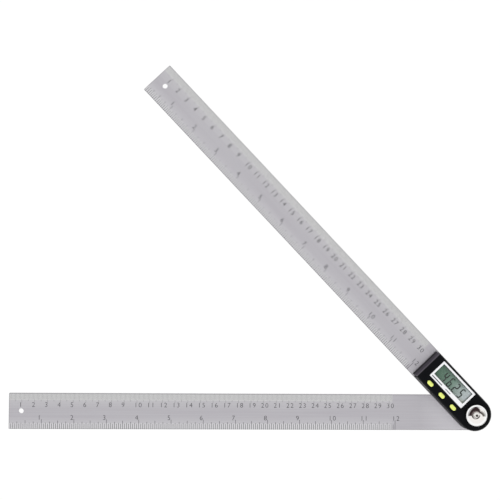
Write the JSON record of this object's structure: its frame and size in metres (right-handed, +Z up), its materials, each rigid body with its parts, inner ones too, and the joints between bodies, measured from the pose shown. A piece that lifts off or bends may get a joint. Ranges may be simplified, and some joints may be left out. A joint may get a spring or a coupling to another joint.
{
  "type": "angle finder",
  "caption": "Digital angle finder: two flat steel rules joined at a pivot, with a reading head, display, buttons, clamp knob and battery drawer.",
  "frame": {"origin": "on the pivot axis, at the underside of the hub, level with the underside of the base blade", "axes": "+X from the base blade's free end to the pivot, +Z up out of the dial side, +Y to the side on which the arm lies at rest"},
  "size_m": [0.38, 0.2879, 0.016],
  "materials": {
    "rule_steel": "brushed along the blade, satin",
    "hub_steel": "turned, satin",
    "chrome": "polished",
    "spring_steel": "bright rolled strip",
    "bronze": "turned bearing bronze",
    "nylon": "natural nylon sheet",
    "case_black": "black moulded ABS, fine texture",
    "drawer_grey": "dark grey moulded ABS",
    "bezel_white": "white gloss",
    "window_clear": "clear acrylic",
    "display_glass": "grey-green reflective liquid crystal",
    "button_green": "yellow-green rubberised",
    "board_green": "solder mask",
    "chip_black": "moulded epoxy",
    "connector_rubber": "striped silicone",
    "screw_steel": "nickel plated",
    "cell_steel": "nickel plated can",
    "scale_black": "etched and blackened marks"
  },
  "bodies": {
    "base": {"base_blade": "rule_steel", "pivot_hub": "hub_steel", "blade_washer": "nylon", "rotor_carrier": "hub_steel", "rotor_disc": "board_green", "rotor_nut": "screw_steel", "knob_screw": "chrome"},
    "arm": {"arm_blade": "rule_steel", "arm_bush": "bronze", "case_cover": "case_black", "case_screws": "screw_steel", "battery_guide": "drawer_grey", "positive_contact": "spring_steel", "negative_contact": "spring_steel", "main_board": "board_green", "controller_chip": "chip_black", "switch_domes": "spring_steel", "board_screws": "screw_steel", "lcd_panel": "display_glass", "zebra_strips": "connector_rubber", "lcd_window": "window_clear", "lcd_bezel": "bezel_white"},
    "washer": {"wave_washer": "spring_steel"},
    "knob": {"lock_knob": "chrome"},
    "power_key": {"power_button": "button_green"},
    "zero_key": {"zero_button": "button_green"},
    "hold_key": {"hold_button": "button_green"},
    "drawer": {"battery_tray": "drawer_grey", "coin_cell": "cell_steel"}
  },
  "joints": [
    {"name": "arm_turn", "type": "hinge", "parent": "base", "child": "arm", "pos_m": [0, 0, 0.00245], "axis": [0, 0, 1], "continuous": true},
    {"name": "knob_rise", "type": "slide", "parent": "base", "child": "washer", "axis": [0, 0, 1], "range_m": [0, 0.0007]},
    {"name": "knob_turn", "type": "hinge", "parent": "washer", "child": "knob", "pos_m": [0, 0, 0.0139], "axis": [0, 0, 1], "range_deg": [0, 360]},
    {"name": "power_press", "type": "slide", "parent": "arm", "child": "power_key", "axis": [0, 0, -1], "range_m": [0, 0.0004], "stiffness_N_per_m": 2500, "springref_m": -0.0002},
    {"name": "zero_press", "type": "slide", "parent": "arm", "child": "zero_key", "axis": [0, 0, -1], "range_m": [0, 0.0004], "stiffness_N_per_m": 2500, "springref_m": -0.0002},
    {"name": "hold_press", "type": "slide", "parent": "arm", "child": "hold_key", "axis": [0, 0, -1], "range_m": [0, 0.0004], "stiffness_N_per_m": 2500, "springref_m": -0.0002},
    {"name": "drawer_slide", "type": "slide", "parent": "arm", "child": "drawer", "axis": [-0.6915, 0.7224, 0], "range_m": [0, 0.022]}
  ],
  "couplings": [
    {"joint": "knob_rise", "follows": "knob_turn", "m_per_rad": 0.00011141}
  ]
}
